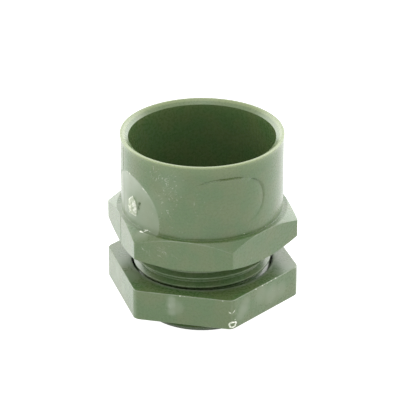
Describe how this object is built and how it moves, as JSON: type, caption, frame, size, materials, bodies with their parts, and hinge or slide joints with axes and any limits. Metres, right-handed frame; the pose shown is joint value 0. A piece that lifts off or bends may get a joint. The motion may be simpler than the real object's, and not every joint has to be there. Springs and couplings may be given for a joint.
{
  "type": "pvc conduit connector",
  "caption": "Straight box adaptor for rigid conduit: a round socket, a hexagonal flange and a hollow threaded spigot with a hexagonal locknut.",
  "frame": {"origin": "middle of the spigot's end face, which the part stands on", "axes": "+Z along the bore, from the threaded spigot to the socket; -Y through the oval pad on the socket; flats of both hexagons face +X and -X"},
  "size_m": [0.0394, 0.0453, 0.0441],
  "materials": {
    "sage_pvc": "soft gloss, as moulded, with fine scuffs"
  },
  "bodies": {
    "connector_body": {"connector_body": "sage_pvc"},
    "locknut": {"locknut": "sage_pvc"}
  },
  "joints": [
    {"name": "locknut_travel", "type": "slide", "parent": "connector_body", "child": "locknut", "axis": [0, 0, 1], "range_m": [-0.0046, 0.006]}
  ]
}
